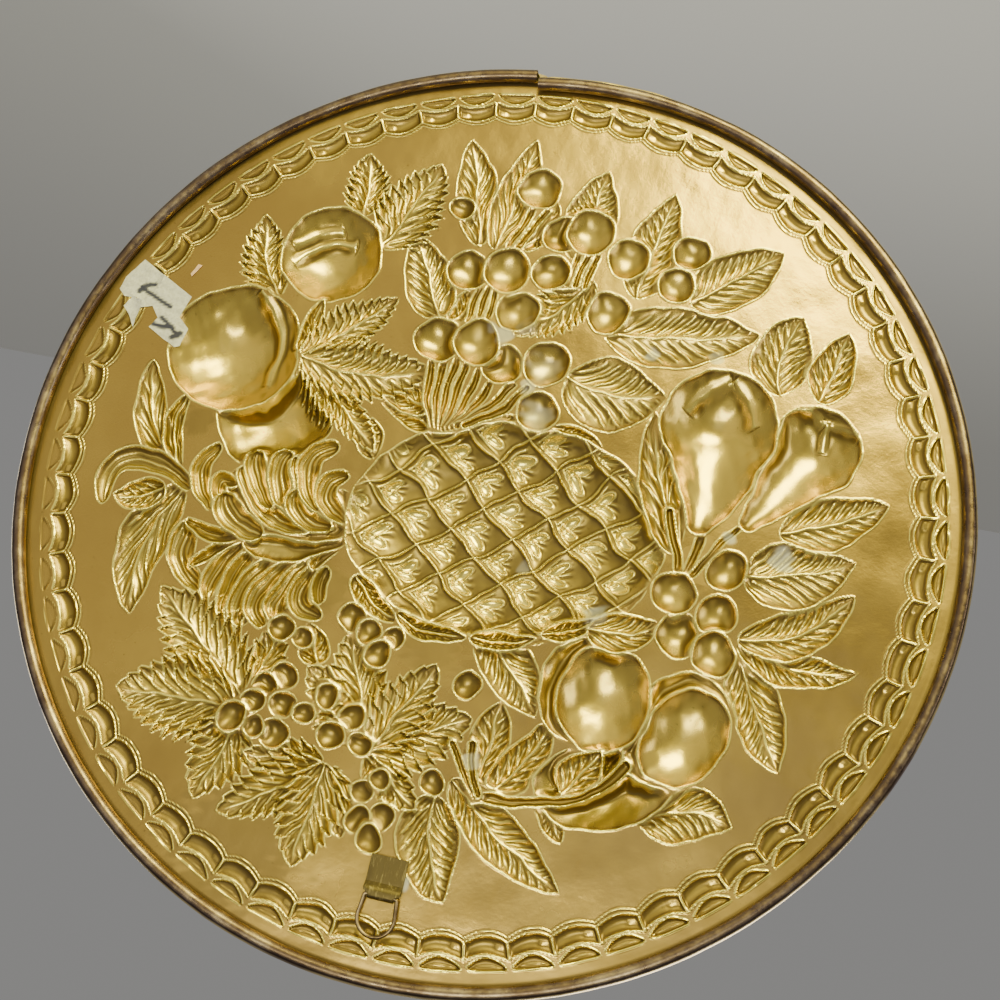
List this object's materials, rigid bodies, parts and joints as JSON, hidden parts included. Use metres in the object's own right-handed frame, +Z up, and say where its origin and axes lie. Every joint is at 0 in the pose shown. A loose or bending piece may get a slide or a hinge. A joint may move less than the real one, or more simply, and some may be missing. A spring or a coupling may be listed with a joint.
{
  "type": "pressed brass wall plaque",
  "caption": "Round pressed sheet-brass wall plaque with a pineapple among fruit and leaves, a scalloped border and a rolled edge, hung by a wire ring in a folded strap on its hollow back.",
  "frame": {"origin": "the point inside the top of the hanging ring where a nail carries the plaque", "axes": "+Z up as hung, -Y the way the relief faces, +Y towards the wall, X across"},
  "size_m": [0.4564, 0.0237, 0.4558],
  "materials": {
    "sheet_brass": "pressed sheet brass, aged golden brown with bright ridges, its rolled edge browned",
    "strap_brass": "brown patina, dull",
    "ring_wire": "dark brown wire, worn bright along its top"
  },
  "bodies": {
    "root": {"plaque": "sheet_brass", "hanger_strap": "strap_brass", "hanging_ring": "ring_wire"}
  },
  "joints": []
}
